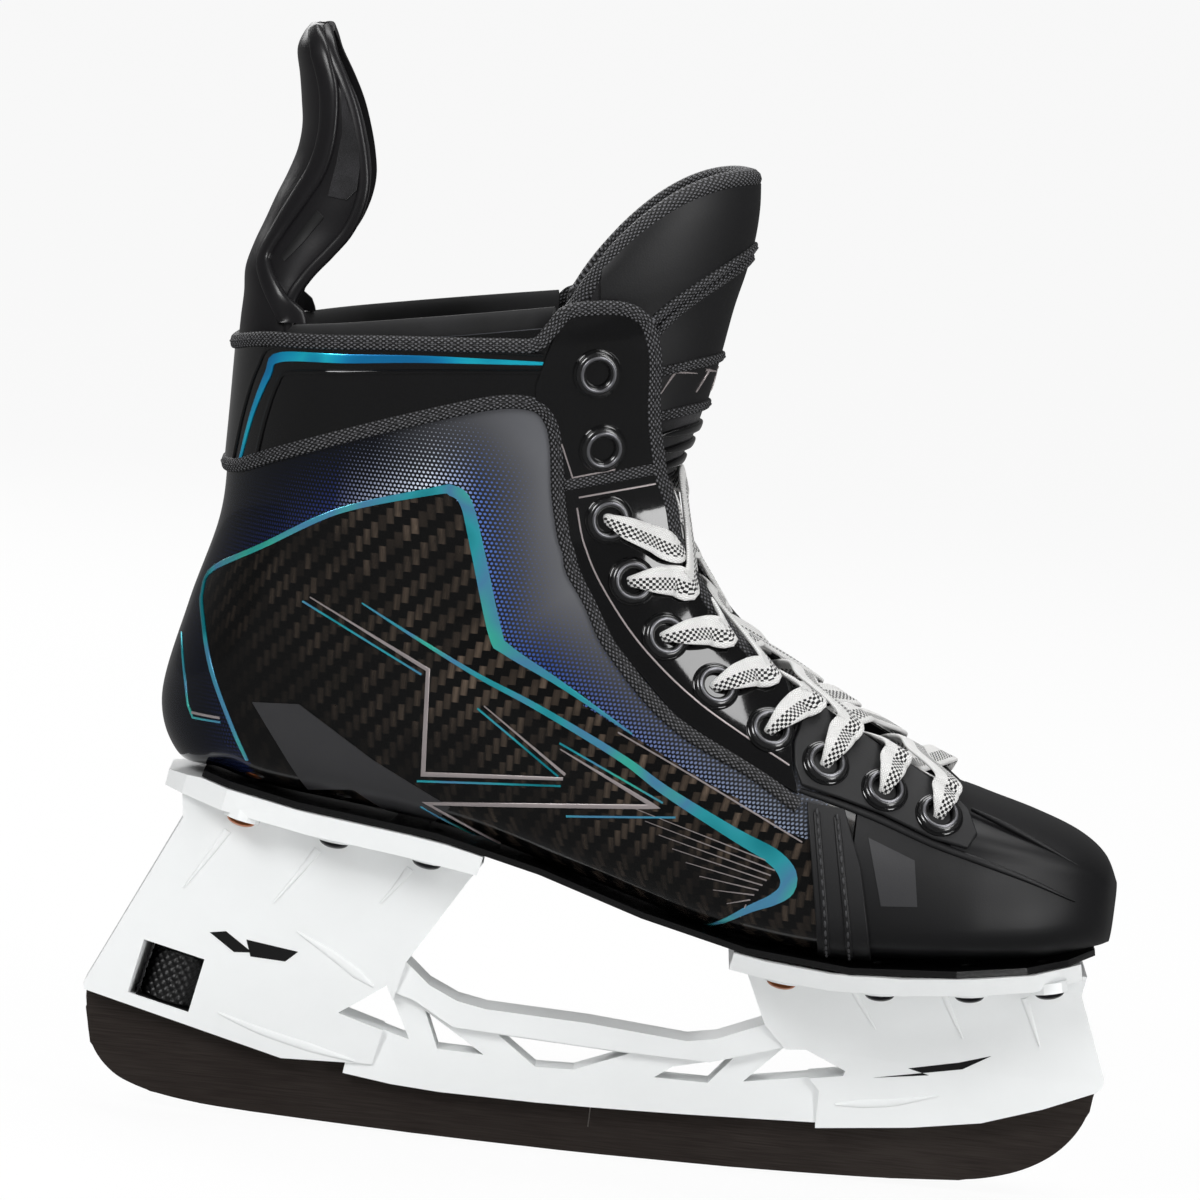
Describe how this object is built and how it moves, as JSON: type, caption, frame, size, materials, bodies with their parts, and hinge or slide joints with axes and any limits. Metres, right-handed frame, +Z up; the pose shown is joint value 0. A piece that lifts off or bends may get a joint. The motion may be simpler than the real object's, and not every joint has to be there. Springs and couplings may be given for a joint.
{
  "type": "ice hockey skate",
  "caption": "Right ice hockey skate: a stiff moulded laced boot riveted to a plastic two-tower holder that clamps a removable steel blade for skating on ice.",
  "frame": {"origin": "middle of the runner's bottom edge, where it meets the ice", "axes": "+X toward the toe, -Y toward the outer (lateral) side of the right foot, +Z up from the ice"},
  "size_m": [0.2927, 0.0998, 0.3146],
  "materials": {
    "runner_steel": "hardened steel blade, dark brown-black satin coating, ground bottom edge",
    "holder_plastic": "moulded white nylon, satin, sharp parting edges",
    "lock_plastic": "knurled black nylon thumb wheel",
    "stud_steel": "bright threaded steel stud",
    "outsole_composite": "gloss black composite plate",
    "shell_carbon": "woven carbon composite under a gloss clear coat, with coloured line graphics",
    "toe_rubber": "matt black moulded toe cap",
    "boot_lining": "dark knitted lining over foam",
    "footbed_felt": "pressed felt footbed",
    "tongue_felt": "black felt tongue",
    "tongue_leatherette": "black synthetic leather tongue top with taped seams",
    "guard_plastic": "flexible matt black plastic",
    "guard_felt": "black felt pad",
    "lace_weave": "flat woven lace, off-white with a black check",
    "gloss_trim": "gloss black coated facing with a turned edge",
    "matt_trim": "matt black synthetic leather facing",
    "stitched_band": "matt black synthetic leather strip with stitches",
    "eyelet_metal": "black coated brass eyelet with a bright rim",
    "rivet_black": "black coated steel rivet",
    "rivet_copper": "bare copper rivet"
  },
  "bodies": {
    "root": {"holder": "holder_plastic", "outsole": "outsole_composite", "boot_shell": "shell_carbon", "toe_cap": "toe_rubber", "liner": "boot_lining", "footbed": "footbed_felt", "ankle_tab_outer": "gloss_trim", "facing_outer": "gloss_trim", "toe_facing_outer": "matt_trim", "toe_band_outer": "stitched_band", "eyelet_outer_1": "eyelet_metal", "eyelet_outer_2": "eyelet_metal", "eyelet_outer_3": "eyelet_metal", "eyelet_outer_4": "eyelet_metal", "eyelet_outer_5": "eyelet_metal", "eyelet_outer_6": "eyelet_metal", "eyelet_outer_7": "eyelet_metal", "eyelet_outer_8": "eyelet_metal", "eyelet_outer_9": "eyelet_metal", "eyelet_outer_10": "eyelet_metal", "ankle_tab_inner": "gloss_trim", "facing_inner": "gloss_trim", "toe_facing_inner": "matt_trim", "toe_band_inner": "stitched_band", "eyelet_inner_1": "eyelet_metal", "eyelet_inner_2": "eyelet_metal", "eyelet_inner_3": "eyelet_metal", "eyelet_inner_4": "eyelet_metal", "eyelet_inner_5": "eyelet_metal", "eyelet_inner_6": "eyelet_metal", "eyelet_inner_7": "eyelet_metal", "eyelet_inner_8": "eyelet_metal", "eyelet_inner_9": "eyelet_metal", "eyelet_inner_10": "eyelet_metal", "rivet_heel_outer_1": "rivet_copper", "rivet_heel_outer_2": "rivet_black", "rivet_heel_outer_3": "rivet_black", "rivet_toe_outer_1": "rivet_copper", "rivet_toe_outer_2": "rivet_black", "rivet_toe_outer_3": "rivet_black", "rivet_toe_outer_4": "rivet_black", "rivet_heel_inner_1": "rivet_copper", "rivet_heel_inner_2": "rivet_black", "rivet_heel_inner_3": "rivet_black", "rivet_toe_inner_1": "rivet_copper", "rivet_toe_inner_2": "rivet_black", "rivet_toe_inner_3": "rivet_black", "rivet_toe_inner_4": "rivet_black", "tongue_lower": "tongue_felt", "lace_first_half": "lace_weave", "lace_second_half": "lace_weave"},
    "wheel": {"lock_wheel": "lock_plastic"},
    "runner_unit": {"runner": "runner_steel", "lock_stud": "stud_steel"},
    "tongue_top": {"tongue_upper": "tongue_leatherette"},
    "guard": {"tendon_guard": "guard_plastic", "tendon_pad": "guard_felt"}
  },
  "joints": [
    {"name": "lock_wheel_turn", "type": "hinge", "parent": "root", "child": "wheel", "pos_m": [-0.1207, 0, 0.0391], "axis": [0.2215, 0, 0.9751], "range_deg": [0, 960]},
    {"name": "runner_release", "type": "hinge", "parent": "root", "child": "runner_unit", "pos_m": [0.104, 0, 0.027], "axis": [0, -1, 0], "range_deg": [0, 1.02]},
    {"name": "tongue_flop", "type": "hinge", "parent": "root", "child": "tongue_top", "pos_m": [0.0052, 0, 0.1984], "axis": [0, 1, 0], "range_deg": [0, 40], "stiffness_Nm_per_rad": 0.3},
    {"name": "tendon_guard_flex", "type": "hinge", "parent": "root", "child": "guard", "pos_m": [-0.1208, 0, 0.2222], "axis": [0, -1, 0], "range_deg": [-1.5, 22], "stiffness_Nm_per_rad": 2}
  ],
  "couplings": [
    {"joint": "runner_release", "follows": "lock_wheel_turn", "ratio": 0.0010625}
  ]
}
